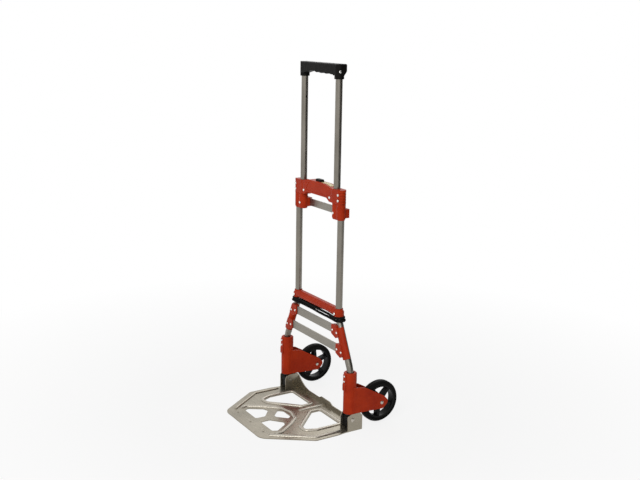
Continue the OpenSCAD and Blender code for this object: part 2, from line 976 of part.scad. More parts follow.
cord_high_z = cross_z - cord_d / 2 - 0.5;
cord_mid_z = cord_high_z - cord_d - 0.5;
cord_low_z = cord_high_z - cord_d - 4;
cord_turn_r = tube_r + cord_d / 2 + 1.4;

// Two turns round both uprights; behind, the second turn passes outside the first
function cord_at(i) =
    let (first = i < 48, k = i % 48)
    k < 16
        ? let (z = first ? cord_low_z + (cord_mid_z - cord_low_z) * k / 15 : cord_high_z)
            [tube_axis(z) * (2 * k / 15 - 1), -cord_turn_r, z]
        : k < 24
        ? cord_wrap(1, -90 + 20 * (k - 15), first ? cord_mid_z : cord_high_z)
        : k < 40
        ? let (
            t = (k - 24) / 15,
            s = max(0, min(1, (t - 0.15) / 0.45)),
            z = first
                ? cord_mid_z + (cord_high_z - cord_mid_z) * s
                : cord_high_z + (cord_low_z - cord_high_z) * s,
            out = first ? 0 : max(0, min(1, t / 0.15, (0.75 - t) / 0.15))
        )
            [tube_axis(z) * (1 - 2 * t), cord_turn_r + (cord_d + 0.8) * out, z]
        : cord_wrap(-1, 90 + 20 * (k - 39), first ? cord_high_z : cord_low_z);

function cord_wrap(side, a, z) =
    [side * tube_axis(z) + cord_turn_r * cos(a), cord_turn_r * sin(a), z];

module elastic_cord() {
    count = 96;
    rings = [for (i = [0:count - 1])
        let (
            p = cord_at(i),
            t = cord_at((i + 1) % count) - cord_at((i + count - 1) % count),
            u = t / norm(t),
            s = cross(u, [0, 0, 1]) / norm(cross(u, [0, 0, 1])),
            v = cross(s, u)
        )
        [for (j = [0:7]) p + cord_d / 2 * (s * cos(-j * 45) + v * sin(-j * 45))]];
    color([0.06, 0.06, 0.06])
        skin(rings, true);
}

// Crimped sleeve that joins the cord's two ends, behind the left upright
module cord_clip() {
    color([0.06, 0.06, 0.06])
        translate([20 - side_x, cord_turn_r, cord_low_z])
            rotate([0, 90, 0])
                difference() {
                    cylinder(r = cord_d / 2 + 1.6, h = 16);
                    translate([0, 0, -1])
                        cylinder(r = cord_d / 2 + 0.3, h = 18);
                }
}

// ---- Ladder ----

sleeve_bore_r = tube_r + seat_gap;
sleeve_r = sleeve_bore_r + sleeve_wall;
bar_y = -13.6;
lug_front = 17;
lug_back = -5;
bar_gap = seat_gap;

function bar_end(z) = on_splay(z) - sleeve_r - 2;

// A lug stands in from the sleeve at height z and holds the end of a flat bar
module lug(z) {
    x = on_splay(z);
    half = ladder_bar_h / 2 + 2;
    rotate([90, 0, 0])
        translate([0, 0, -lug_back])
            linear_extrude(lug_front + lug_back)
                polygon(rounded([
                    [x - lug_reach, z - half, 4],
                    [x + 2 - half * tan(splay), z - half - 9, 3],
                    [x + 4 + half * tan(splay), z - half, 3],
                    [x + 4 - half * tan(splay), z + half, 3],
                    [x - lug_reach, z + half, 4]]));
}

module ladder_sleeve() {
    difference() {
        union() {
            intersection() {
                translate([on_splay(sleeve_low_z), 0, sleeve_low_z])
                    rotate([0, -splay, 0])
                        cylinder(r = sleeve_r, h = (sleeve_top_z - sleeve_low_z) / cos(splay));
                translate([0, -40, 0])
                    cube([300, 40, 400]);
            }
            lug(upper_bar_z);
            lug(lower_bar_z);
        }
        translate([on_splay(splay_low_z), 0, splay_low_z])
            rotate([0, -splay, 0])
                cylinder(r = sleeve_bore_r, h = splay_len + 2 * bend_cut);
        for (z = [upper_bar_z, lower_bar_z]) {
            translate([on_splay(z) - lug_reach - 1, bar_y - bar_gap, z - ladder_bar_h / 2 - bar_gap])
                cube([lug_reach - sleeve_r - 0.9, bar_t + 2 * bar_gap, ladder_bar_h + 2 * bar_gap]);
            for (p = ladder_rivet_places(z))
                shank_hole(p.x, -lug_front, p.z, 9, 7);
        }
    }
}

function ladder_rivet_places(z) = [
    [on_splay(z) - lug_reach + 7, 0, z - 2.4], [on_splay(z - 6) - 3, 0, z - 6]];

module ladder_sleeve_right() {
    color([0.78, 0.2, 0.1])
        ladder_sleeve();
}

module ladder_sleeve_left() {
    color([0.78, 0.2, 0.1])
        mirror([1, 0, 0])
            ladder_sleeve();
}

module ladder_bar(z) {
    half = bar_end(z);
    difference() {
        translate([-half, bar_y, z - ladder_bar_h / 2])
            cube([2 * half, bar_t, ladder_bar_h]);
        both()
            shank_hole(ladder_rivet_places(z)[0].x, -lug_front, z - 2.4, 9, 7);
    }
}

module ladder_bar_upper() {
    color("silver")
        ladder_bar(upper_bar_z);
}

module ladder_bar_lower() {
    color("silver")
        ladder_bar(lower_bar_z);
}

module ladder_rivets() {
    color([0.9, 0.9, 0.88])
        both()
            for (z = [upper_bar_z, lower_bar_z]) {
                front_rivet(ladder_rivet_places(z)[0].x, -lug_front, z - 2.4, 8, 7);
                front_rivet(ladder_rivet_places(z)[1].x, -lug_front, z - 6, 3.6, 7);
            }
}

// ---- Mitre gears ----

gear_module = 2 * gear_r / gear_teeth;
gear_cone = gear_r * sqrt(2);
gear_small = 0.8;
backlash = 0.35;

gear_low = gear_module * 1.1;
gear_face = (gear_r + gear_low / sqrt(2)) * gear_small;

// Point of a tooth flank: s runs along the cone from the apex, h is height above pitch,
// w is the distance across from the tooth's middle. The gear's axis is +Z from the apex.
function tooth_point(s, h, w) =
    let (
        r = (gear_r + h / sqrt(2)) * s,
        z = (gear_r - h / sqrt(2)) * s,
        a = w * s / r * 180 / PI
    )
    [r * cos(a), r * sin(a), z];

// Half width of a tooth at height h above the pitch line, on flanks with a pressure angle
function tooth_half(h) =
    PI * gear_module / 4 - backlash / 2 - h * tan(22) - 0.02 * h * h;

module tooth() {
    top = gear_module * 0.9;
    low = -gear_low - 0.1;
    heights = [low, low / 2, 0, top / 2, top];
    outline = concat(
        [for (h = heights) [h, tooth_half(h)]],
        [for (i = [len(heights) - 1:-1:0]) [heights[i], -tooth_half(heights[i])]]);
    rings = [for (s = [gear_small, 1]) [for (p = outline) tooth_point(s, p.x, p.y)]];
    skin(rings, false);
}

// Gear body up to the root cone, then its teeth. Angles are teeth counted from +X.
module mitre_gear(bore, back, first, last, hub) {
    r1 = gear_r - gear_low / sqrt(2);
    z1 = gear_r + gear_low / sqrt(2);
    difference() {
        union() {
            rotate_extrude()
                polygon([
                    [0, gear_face], [r1 * gear_small, gear_face],
                    [r1, z1], [hub, z1 + 0.2], [hub, back], [0, back]]);
            for (i = [first:last])
                rotate([0, 0, i * 360 / gear_teeth])
                    tooth();
        }
        cylinder(r = bore, h = 3 * back, center = true);
    }
}

// Gear under the right bracket: its axis points up from the hinge centre
module bracket_gear() {
    translate([foot_x, 0, hinge_z])
        rotate([0, 0, -180 / gear_teeth])
            mitre_gear(bore_r - seat_gap + slide_gap, boss_z - hinge_z, -4, 1, gear_r + 1);
}

module bracket_gear_right() {
    color("dimgray")
        bracket_gear();
}

module bracket_gear_left() {
    color("dimgray")
        mirror([1, 0, 0])
            bracket_gear();
}

// Gear on the inside of the right ear: its axis points outwards from the hinge centre
module toe_gear() {
    translate([foot_x, 0, hinge_z])
        rotate([0, 90, 0])
            rotate([0, 0, 180])
                mitre_gear(hinge_pin_d / 2 + seat_gap, gear_back - ear_t, -1, 5, gear_r - 1);
}

module toe_gear_right() {
    color("dimgray")
        toe_gear();
}

module toe_gear_left() {
    color("dimgray")
        mirror([1, 0, 0])
            toe_gear();
}

// ---- Toe plate ----

plate_outline = both_sides([
    [toe_front_w / 2, -toe_reach, 34], [ear_out_x + 4, -toe_shoulder, 18],
    [ear_out_x + 4, -52, 20], [ear_out_x, -22, 10], [ear_out_x, toe_back, 1]]);

// Openings of the right half, anticlockwise, and the one in the middle
hole_side = [[31, -36, 6], [108, -114, 8], [129, -117, 9], [141, -88, 9], [141, -6, 7], [31, -6, 6]];
hole_front = [[15, -208, 6], [87, -208, 7], [95, -193, 6], [68, -153, 8], [50, -146, 8], [14, -176, 7]];
hole_mid = [[-6, -149, 4], [6, -149, 4], [35, -121, 5], [22, -107, 8], [-22, -107, 8], [-35, -121, 5]];
recess_rib = [[110, -214, 0], [112, -188, 14], [76, -138, 20], [44, -103, 24], [0, -90, 40]];
edge_rib = [[108, -232, 0], [190, -117, 16], [190, -30, 0]];

function mirrored(pts) = [for (i = [len(pts) - 1:-1:0]) [-pts[i].x, pts[i].y, pts[i].z]];

// Rounded open path: the corners in between are rounded, the ends stay
function open_path(pts, n = 4) =
    [for (i = [0:len(pts) - 1])
        let (p = pts[i])
        each i == 0 || i == len(pts) - 1 || p.z == 0
            ? [[p.x, p.y]]
            : corner([pts[i - 1].x, pts[i - 1].y], [p.x, p.y],
                     [pts[i + 1].x, pts[i + 1].y], p.z, n)];

rib_off = 7;
dimple_y = -toe_reach + 28;
tab_half = 25;
tab_h = 20.8;
wall_h = 13.7;
wall_top = 45;
wall_flat = 95;

// Height of the rear wall: low across the middle, then a hollow curve up to the ears
function rear_wall(x) = min(wall_top, wall_h + 59 * pow(max(0, x - wall_flat) / 95, 2));

module rear_wall_solid() {
    reach = wall_flat + 95 * sqrt((wall_top - wall_h) / 59);
    curve = [for (i = [0:10]) let (x = wall_flat + (reach - wall_flat) * i / 10) [x, rear_wall(x)]];
    translate([0, toe_back, 0])
        rotate([90, 0, 0])
            linear_extrude(plate_t)
                polygon(concat(
                    [[-ear_out_x, 0], [ear_out_x, 0], [ear_out_x, wall_top]],
                    [for (i = [10:-1:0]) curve[i]],
                    [[tab_half + 14, wall_h], [tab_half, tab_h], [-tab_half, tab_h],
                     [-tab_half - 14, wall_h]],
                    [for (i = [0:10]) [-curve[i].x, curve[i].y]],
                    [[-ear_out_x, wall_top]]));
}

outer_ear_front = 16;
inner_ear_front = 18;

// Side view of an ear; its top front corner is round about the hinge, to pass the bracket
module ear(x, front) {
    top = hinge_z + ear_top_r;
    translate([x, 0, 0])
        rotate([90, 0, 90])
            linear_extrude(ear_t) {
                intersection() {
                    translate([0, hinge_z])
                        circle(r = ear_top_r);
                    translate([-front, hinge_z])
                        square([front, ear_top_r + 1]);
                }
                polygon([
                    [-front, 0], [toe_back, 0], [toe_back, rear_wall(190)],
                    [toe_back - 8, top], [0, top], [0, hinge_z], [-front, hinge_z]]);
            }
}

module toe_plate() {
    color([0.8, 0.78, 0.74])
        difference() {
            union() {
                linear_extrude(plate_t)
                    difference() {
                        polygon(rounded(plate_outline));
                        both() {
                            polygon(rounded(hole_side));
                            polygon(rounded(hole_front));
                        }
                        polygon(rounded(hole_mid));
                    }
                rear_wall_solid();
                both() {
                    ear(ear_out_x - ear_t, outer_ear_front);
                    ear(ear_in_x - ear_t, inner_ear_front);
                    rib(rounded(grown(hole_side, rib_off), 3), true);
                    rib(open_path(edge_rib));
                }
                rib(open_path(concat(recess_rib, [for (i = [3:-1:0])
                    [-recess_rib[i].x, recess_rib[i].y, recess_rib[i].z]])));
                rib([[0, -64], [0, -20], [0, toe_back - plate_t - 1]]);
            }
            translate([0, 0, hinge_z])
                rotate([0, 90, 0])
                    cylinder(r = hinge_pin_d / 2 + seat_gap, h = 3 * foot_x, center = true);
            for (x = [-82, 0, 82])
                translate([x, dimple_y, plate_t - 1])
                    cylinder(d = 6, h = 5);
        }
}

// Hinge pins with a head outside each ear
module toe_pins() {
    color([0.85, 0.85, 0.82])
        both()
            translate([ear_out_x, 0, hinge_z])
                rotate([0, 90, 0]) {
                    head(12, 2.6);
                    translate([0, 0, ear_in_x - ear_t - ear_out_x - 1])
                        cylinder(d = hinge_pin_d, h = ear_out_x - ear_in_x + ear_t + 1 + eps);
                }
}

// ---- Wheel brackets ----

fork_in = boss_r - fork_t + 0.6;
fork_outline = [
    [0, boss_z + 1.5, 0], [axle_back + 5, boss_z - 3.5, 14], [axle_back + 22, axle_z - 4, 12],
    [axle_back + 21, axle_z + 6, 10], [axle_back + 8, axle_z + 20, 20],
    [41, 131, 12], [0, 138, 0]];
bell_r = tube_r + 1.6;

module wheel_bracket() {
    translate([foot_x, 0, 0])
        difference() {
            union() {
                translate([0, 0, boss_z])
                    cylinder(r = boss_r, h = boss_top_z - boss_z - 2);
                translate([0, 0, boss_top_z - 2 - eps])
                    cylinder(r1 = boss_r, r2 = boss_r - 2, h = 2 + eps);
                for (x = [-fork_in - fork_t, fork_in])
                    translate([x, 0, 0])
                        rotate([90, 0, 90])
                            linear_extrude(fork_t)
                                polygon(rounded(fork_outline));
                translate([-fork_in - eps, 0, boss_z + 4])
                    cube([2 * fork_in + 2 * eps, boss_r + 6, 66]);
                translate([-7, 0, 0])
                    rotate([90, 0, 90])
                        linear_extrude(14)
                            polygon(rounded([
                                [-14, boss_top_z - 62, 0], [-14, boss_top_z - 3, 0],
                                [-seam_y, boss_top_z - 5, 2], [-seam_y, boss_top_z - 32, 3],
                                [-seam_y - 1.8, boss_top_z - 36, 3],
                                [-seam_y - 1.8, boss_top_z - 54, 4]]));
            }
            translate([0, 0, boss_z - 20])
                cylinder(r = gear_r + 1 + seat_gap, h = 20);
            translate([0, 0, boss_z - 1])
                cylinder(r = bore_r - seat_gap + slide_gap, h = 20);
            translate([0, 0, boss_z + flange_t])
                cylinder(r = tube_slide_r, h = 200);
            translate([0, 0, boss_top_z - 13])
                cylinder(r = bell_r, h = 20);
            translate([0, axle_back, axle_z])
                rotate([0, 90, 0])
                    cylinder(r = axle_d / 2 + seat_gap, h = 60, center = true);
            for (z = bracket_screw_heights)
                shank_hole(0, -seam_y, z, 4, 6.5);
        }
}

seam_y = boss_r + 1.2;
bracket_screw_heights = [boss_top_z - 26, boss_top_z - 10];

module wheel_bracket_right() {
    color([0.72, 0.18, 0.1])
        wheel_bracket();
}

module wheel_bracket_left() {
    color([0.72, 0.18, 0.1])
        mirror([1, 0, 0])
            wheel_bracket();
}

module bracket_screws() {
    for (z = bracket_screw_heights)
        front_rivet(foot_x, -seam_y, z, 3.5, 6.5);
}

module bracket_screws_right() {
    color([0.9, 0.9, 0.88])
        bracket_screws();
}

module bracket_screws_left() {
    color([0.9, 0.9, 0.88])
        mirror([1, 0, 0])
            bracket_screws();
}

// ---- Wheels ----

axle_head_d = 11;
fork_out = fork_in + fork_t;
bush_wall = 2;
bush_r = axle_d / 2 + run_gap + bush_wall;
hub_half = fork_in - slide_gap;
rim_r = wheel_d / 2 - tyre_t;
rim_wall = 5;
rim_w = tyre_w - 4;

module axle() {
    translate([foot_x + fork_out, axle_back, axle_z])
        rotate([0, 90, 0]) {
            head(axle_head_d, 2.6);
            translate([0, 0, -2 * fork_out])
                cylinder(d = axle_d, h = 2 * fork_out + eps);
            translate([0, 0, -2 * fork_out])
                mirror([0, 0, 1])
                    head(axle_head_d - 1, 1.6);
        }
}

module axle_right() {
    color([0.85, 0.85, 0.82])
        axle();
}

module axle_left() {
    color([0.85, 0.85, 0.82])
        mirror([1, 0, 0])
            axle();
}

// Wheel parts lie on their own axis, along X
module at_wheel() {
    translate([foot_x, axle_back, axle_z])
        rotate([0, 90, 0])
            children();
}

// Hub: a boss, tapered spokes and the rim that the tyre grips
module wheel_hub(turn) {
    at_wheel()
        rotate([0, 0, turn])
            difference() {
                union() {
                    cylinder(d = hub_d, h = 2 * hub_half - 3, center = true);
                    cylinder(r = bush_r + 3.5, h = 2 * hub_half, center = true);
                    difference() {
                        cylinder(r = rim_r, h = rim_w, center = true);
                        cylinder(r = rim_r - rim_wall, h = rim_w + 2, center = true);
                    }
                    cylinder(r = rim_r + 3 - seat_gap, h = 6 - 2 * seat_gap, center = true);
                    for (i = [0:spokes - 1])
                        rotate([0, 0, i * 360 / spokes])
                            spoke();
                }
                cylinder(r = bush_r + seat_gap, h = 80, center = true);
                difference() {
                    cylinder(r = rim_r - rim_wall + eps, h = 80, center = true);
                    cylinder(d = hub_d - 0.5, h = 90, center = true);
                    for (i = [0:spokes - 1])
                        rotate([0, 0, i * 360 / spokes])
                            spoke();
                }
            }
}

module spoke() {
    translate([0, 0, -rim_w / 2 + 3])
        linear_extrude(rim_w - 6)
            polygon([
                [hub_d / 2 - 3, -spoke_w / 2 - 1.5], [rim_r - rim_wall + 1, -spoke_w / 2 + 1],
                [rim_r - rim_wall + 1, spoke_w / 2 - 1], [hub_d / 2 - 3, spoke_w / 2 + 1.5]]);
}

module wheel_hub_right() {
    color([0.1, 0.1, 0.1])
        wheel_hub(138);
}

module wheel_hub_left() {
    color([0.1, 0.1, 0.1])
        mirror([1, 0, 0])
            wheel_hub(110);
}

module tyre() {
    half = tyre_w / 2;
    outer = wheel_d / 2;
    at_wheel()
        rotate_extrude()
            difference() {
                polygon(rounded([
                    [rim_r + seat_gap, -half + 2.5, 1], [outer - 5, -half, 4], [outer, -half + 7, 6],
                    [outer, half - 7, 6], [outer - 5, half, 4], [rim_r + seat_gap, half - 2.5, 1]]));
                translate([0, -3])
                    square([rim_r + 3, 6]);
            }
}

module tyre_right() {
    color([0.07, 0.07, 0.07])
        tyre();
}

module tyre_left() {
    color([0.07, 0.07, 0.07])
        mirror([1, 0, 0])
            tyre();
}

module wheel_bush() {
    at_wheel()
        difference() {
            cylinder(r = bush_r, h = 2 * hub_half, center = true);
            cylinder(r = axle_d / 2 + run_gap, h = 2 * hub_half + 2, center = true);
        }
}

module wheel_bush_right() {
    color("silver")
        wheel_bush();
}

module wheel_bush_left() {
    color("silver")
        mirror([1, 0, 0])
            wheel_bush();
}

side_tube_left();
side_tube_right();
housing_front();
housing_rear();
housing_screws();
top_inlay();
crosspiece();
crosspiece_rivets();
elastic_cord();
cord_clip();
ladder_sleeve_left();
ladder_sleeve_right();
ladder_bar_upper();
ladder_bar_lower();
ladder_rivets();
hinge_block_left();
hinge_block_right();
foot_pins();
release_button();
button_cross_pins();
button_spring();
latch_left();
latch_right();
grip();
grip_rivets();
handle_tube_left();
handle_tube_right();
slider_left();
slider_right();
slider_bar();
slider_screws();
toe_plate();
toe_gear_left();
toe_gear_right();
toe_pins();
wheel_bracket_left();
wheel_bracket_right();
bracket_gear_left();
bracket_gear_right();
bracket_screws_left();
bracket_screws_right();
axle_left();
axle_right();
wheel_hub_left();
wheel_hub_right();
tyre_left();
tyre_right();
wheel_bush_left();
wheel_bush_right();
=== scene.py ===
import math
import bmesh
import bpy
from mathutils import Matrix, Vector


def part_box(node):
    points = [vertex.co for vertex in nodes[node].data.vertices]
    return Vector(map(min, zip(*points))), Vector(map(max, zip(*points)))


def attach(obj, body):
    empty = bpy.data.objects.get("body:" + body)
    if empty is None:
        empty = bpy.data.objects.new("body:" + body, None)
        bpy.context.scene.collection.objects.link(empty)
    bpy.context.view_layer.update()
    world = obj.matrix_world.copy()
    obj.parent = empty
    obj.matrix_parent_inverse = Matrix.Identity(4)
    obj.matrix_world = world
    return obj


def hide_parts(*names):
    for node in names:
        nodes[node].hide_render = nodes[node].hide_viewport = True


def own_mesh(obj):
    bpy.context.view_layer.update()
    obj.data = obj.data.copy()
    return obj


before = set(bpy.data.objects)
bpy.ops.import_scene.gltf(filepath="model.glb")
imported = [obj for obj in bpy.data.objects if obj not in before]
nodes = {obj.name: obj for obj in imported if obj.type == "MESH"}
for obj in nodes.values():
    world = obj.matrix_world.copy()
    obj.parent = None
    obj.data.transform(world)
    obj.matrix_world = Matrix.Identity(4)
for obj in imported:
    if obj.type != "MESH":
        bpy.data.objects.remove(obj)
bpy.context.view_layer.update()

print("frame loaded:", len(nodes), "nodes")

# The camera stands front right, a little above the grip
cameraView = {
    "place": (2.3133, -1.4421, 1.1753),
    "azimuth": 58.0,
    "elevation": 13.07,
    "roll": 0.93,
    "lens": 52.04,
    "sensor": 36.0,
    "clip": 50,
}


def makeCamera(view):
    azimuth, elevation, roll = (math.radians(view[k]) for k in ("azimuth", "elevation", "roll"))
    back = Vector((math.sin(azimuth) * math.cos(elevation),
                   -math.cos(azimuth) * math.cos(elevation), math.sin(elevation)))
    right = Vector((math.cos(azimuth), math.sin(azimuth), 0))
    up = back.cross(right)
    rolledRight = math.cos(roll) * right + math.sin(roll) * up
    rolledUp = -math.sin(roll) * right + math.cos(roll) * up
    data = bpy.data.cameras.new("truckCamera")
    data.lens = view["lens"]
    data.sensor_width = view["sensor"]
    data.clip_end = view["clip"]
    camera = bpy.data.objects.new("truckCamera", data)
    turn = Matrix((rolledRight, rolledUp, back)).transposed().to_4x4()
    camera.matrix_world = Matrix.Translation(view["place"]) @ turn
    bpy.context.scene.collection.objects.link(camera)
    bpy.context.scene.camera = camera


makeCamera(cameraView)
print("camera placed")


# Builds one procedural material; every pattern reads object coordinates
class Shader:
    def __init__(self, name):
        self.material = bpy.data.materials.new(name)
        self.material.use_nodes = True
        self.tree = self.material.node_tree
        self.skin = self.tree.nodes["Principled BSDF"]
        self.coords = self.tree.nodes.new("ShaderNodeTexCoord").outputs["Object"]

    def link(self, a, b):
        self.tree.links.new(a, b)

    def stretched(self, scale):
        mapping = self.tree.nodes.new("ShaderNodeMapping")
        mapping.inputs["Scale"].default_value = scale
        self.link(self.coords, mapping.inputs["Vector"])
        return mapping.outputs["Vector"]

    def noise(self, scale, detail, rough=0.55, vector=None):
        n = self.tree.nodes.new("ShaderNodeTexNoise")
        n.inputs["Scale"].default_value = scale
        n.inputs["Detail"].default_value = detail
        n.inputs["Roughness"].default_value = rough
        self.link(vector or self.coords, n.inputs["Vector"])
        return n.outputs["Fac"]

    def ramp(self, fac, low, high, start, end):
        r = self.tree.nodes.new("ShaderNodeValToRGB")
        for element, place, colour in zip(r.color_ramp.elements, (start, end), (low, high)):
            element.position = place
            element.color = (*colour, 1)
        self.link(fac, r.inputs["Fac"])
        return r.outputs["Color"]

    def span(self, fac, low, high, start=0.3, end=0.7):
        m = self.tree.nodes.new("ShaderNodeMapRange")
        for key, value in zip(("From Min", "From Max", "To Min", "To Max"), (start, end, low, high)):
            m.inputs[key].default_value = value
        self.link(fac, m.inputs["Value"])
        return m.outputs["Result"]

    def bump(self, height, strength, distance, under=None):
        b = self.tree.nodes.new("ShaderNodeBump")
        b.inputs["Strength"].default_value = strength
        b.inputs["Distance"].default_value = distance
        self.link(height, b.inputs["Height"])
        if under:
            self.link(under, b.inputs["Normal"])
        return b.outputs["Normal"]

    # The base colour, turning to one plain colour where fac is 1
    def tinted(self, fac, base, colour):
        m = self.tree.nodes.new("ShaderNodeMix")
        m.data_type = "RGBA"
        self.link(fac, m.inputs["Factor"])
        self.link(base, m.inputs["A"])
        m.inputs["B"].default_value = (*colour, 1)
        return m.outputs["Result"]


# Metals: grain is how far the pattern is squeezed along each axis, small along the drawing lines
metals = {
    "tube": {"name": "satinTube", "dark": (0.125, 0.112, 0.092), "light": (0.26, 0.24, 0.205),
             "roughness": (0.24, 0.36), "metal": 0.85, "grain": (420.0, 420.0, 6.0), "relief": 1.0},
    "bar": {"name": "satinBar", "dark": (0.17, 0.157, 0.132), "light": (0.31, 0.29, 0.25),
            "roughness": (0.28, 0.42), "metal": 0.85, "grain": (7.0, 300.0, 420.0), "relief": 1.0},
    "plate": {"name": "rolledPlate", "dark": (0.20, 0.177, 0.135), "light": (0.34, 0.307, 0.243),
              "roughness": (0.22, 0.36), "metal": 0.85, "grain": (9.0, 160.0, 160.0), "relief": 0.6},
    # the beads are the plate's own metal drawn lighter than the plate: a painted highlight on the
    # pressed beads
    "bead": {"name": "paintedHighlightBead", "dark": (0.30, 0.272, 0.222), "light": (0.50, 0.462, 0.395),
             "roughness": (0.26, 0.38), "metal": 0.85, "grain": (60.0, 60.0, 300.0), "relief": 0.3},
    "pin": {"name": "pinHead", "dark": (0.36, 0.33, 0.28), "light": (0.52, 0.48, 0.42),
            "roughness": (0.25, 0.4), "metal": 0.9, "grain": (500.0, 500.0, 500.0), "relief": 1.0},
    "rivet": {"name": "brightRivet", "dark": (0.60, 0.59, 0.56), "light": (0.84, 0.83, 0.80),
              "roughness": (0.16, 0.3), "metal": 1.0, "grain": (500.0, 500.0, 500.0), "relief": 1.0},
    "inner": {"name": "plainSteel", "dark": (0.22, 0.22, 0.21), "light": (0.4, 0.4, 0.39),
              "roughness": (0.3, 0.5), "metal": 1.0, "grain": (300.0, 300.0, 300.0), "relief": 1.0},
}
metalPattern = {"clouds": 9.0, "smudges": 35.0, "peel": 160.0, "tones": (0.2, 0.8),
                "lineBump": 0.12, "lineDepth": 0.0004, "peelBump": 0.06, "peelDepth": 0.0006}

# Plastics and rubber: shine is the level of the reflection, worn the colour of scuffs
plastics = {
    "red": {"name": "redMoulding", "dark": (0.38, 0.022, 0.004), "light": (0.54, 0.042, 0.007),
            "roughness": (0.36, 0.5), "grain": 1100.0, "relief": 0.1, "shine": 0.12,
            "worn": (0.62, 0.085, 0.02)},
    "black": {"name": "blackMoulding", "dark": (0.004, 0.004, 0.004), "light": (0.009, 0.008, 0.007),
              "roughness": (0.4, 0.55), "grain": 1200.0, "relief": 0.2, "shine": 0.08},
    "grip": {"name": "gripMoulding", "dark": (0.004, 0.004, 0.004), "light": (0.009, 0.008, 0.007),
             "roughness": (0.4, 0.55), "grain": 1500.0, "relief": 0.25, "shine": 0.08},
    "hub": {"name": "hubMoulding", "dark": (0.004, 0.004, 0.004), "light": (0.010, 0.010, 0.010),
            "roughness": (0.3, 0.42), "grain": 1000.0, "relief": 0.08, "shine": 0.1},
    "tyre": {"name": "tyreRubber", "dark": (0.004, 0.004, 0.004), "light": (0.009, 0.009, 0.008),
             "roughness": (0.42, 0.6), "grain": 1300.0, "relief": 0.15, "shine": 0.05},
    "cord": {"name": "cordWeave", "dark": (0.004, 0.004, 0.004), "light": (0.014, 0.013, 0.012),
             "roughness": (0.7, 0.9), "grain": 2200.0, "relief": 0.3, "shine": 0.08},
    "gear": {"name": "gearNylon", "dark": (0.012, 0.012, 0.012), "light": (0.03, 0.03, 0.03),
             "roughness": (0.4, 0.6), "grain": 1100.0, "relief": 0.1, "shine": 0.5},
    "inlay": {"name": "paleInlay", "dark": (0.70, 0.56, 0.24), "light": (0.84, 0.72, 0.38),
              "roughness": (0.35, 0.5), "grain": 800.0, "relief": 0.06, "shine": 0.5},
}
plasticPattern = {"blotches": 22.0, "tones": (0.25, 0.75), "scuffs": 140.0,
                  "scuffShare": (0.0, 0.35), "scuffTones": (0.55, 0.8), "smudges": 70.0,
                  "grainDepth": 0.0003, "waves": 45.0, "waveBump": 0.05, "waveDepth": 0.001}


def drawnMetal(finish, pattern):
    s = Shader(finish["name"])
    lines = s.noise(1.0, detail=6.0, rough=0.7, vector=s.stretched(finish["grain"]))
    clouds = s.span(s.noise(pattern["clouds"], detail=3.0), 0.0, 1.0)
    drawn = s.ramp(lines, finish["dark"], finish["light"], *pattern["tones"])
    s.link(s.tinted(clouds, drawn, finish["light"]), s.skin.inputs["Base Color"])
    smudges = s.noise(pattern["smudges"], detail=4.0)
    s.link(s.span(smudges, *finish["roughness"]), s.skin.inputs["Roughness"])
    s.skin.inputs["Metallic"].default_value = finish["metal"]
    fine = s.bump(lines, pattern["lineBump"] * finish["relief"], pattern["lineDepth"])
    peel = s.bump(s.noise(pattern["peel"], detail=2.0), pattern["peelBump"] * finish["relief"],
                  pattern["peelDepth"], fine)
    s.link(peel, s.skin.inputs["Normal"])
    return s.material


def mouldedPlastic(finish, pattern):
    s = Shader(finish["name"])
    s.skin.inputs["Specular IOR Level"].default_value = finish["shine"]
    blotches = s.noise(pattern["blotches"], detail=5.0)
    body = s.ramp(blotches, finish["dark"], finish["light"], *pattern["tones"])
    if "worn" in finish:
        scuffs = s.noise(pattern["scuffs"], detail=6.0)
        scuffed = s.span(scuffs, *pattern["scuffShare"], *pattern["scuffTones"])
        body = s.tinted(scuffed, body, finish["worn"])
    s.link(body, s.skin.inputs["Base Color"])
    smudges = s.noise(pattern["smudges"], detail=5.0)
    s.link(s.span(smudges, *finish["roughness"]), s.skin.inputs["Roughness"])
    grain = s.bump(s.noise(finish["grain"], detail=3.0), finish["relief"], pattern["grainDepth"])
    waves = s.bump(s.noise(pattern["waves"], detail=2.0), pattern["waveBump"],
                   pattern["waveDepth"], grain)
    s.link(waves, s.skin.inputs["Normal"])
    return s.material


materials = {key: drawnMetal(finish, metalPattern) for key, finish in metals.items()}
materials.update({key: mouldedPlastic(finish, plasticPattern) for key, finish in plastics.items()})
print("finishes made")

# Which nodes take which finish
nodeFinish = {
    "tube": ("side_tube_left", "side_tube_right", "handle_tube_left", "handle_tube_right"),
    "bar": ("ladder_bar_upper", "ladder_bar_lower", "slider_bar"),
    "plate": ("toe_plate",),
    "red": ("housing_front", "housing_rear", "crosspiece", "ladder_sleeve_left",
            "ladder_sleeve_right", "slider_left", "slider_right", "wheel_bracket_left",
            "wheel_bracket_right"),
    "black": ("hinge_block_left", "hinge_block_right", "release_button"),
    "grip": ("grip",),
    "hub": ("wheel_hub_left", "wheel_hub_right"),
    "tyre": ("tyre_left", "tyre_right"),
    "cord": ("elastic_cord", "cord_clip"),
    "pin": ("toe_pins", "axle_left", "axle_right"),
    "gear": ("toe_gear_left", "toe_gear_right", "bracket_gear_left", "bracket_gear_right"),
    "inlay": ("top_inlay",),
    "rivet": ("housing_screws", "crosspiece_rivets", "ladder_rivets", "grip_rivets",
              "slider_screws", "bracket_screws_left", "bracket_screws_right"),
    "inner": ("foot_pins", "button_cross_pins", "button_spring", "latch_left", "latch_right",
              "wheel_bush_left", "wheel_bush_right"),
}
for key, names in nodeFinish.items():
    for name in names:
        slots = nodes[name].data.materials
        slots.clear()
        slots.append(materials[key])
print("nodes finished")


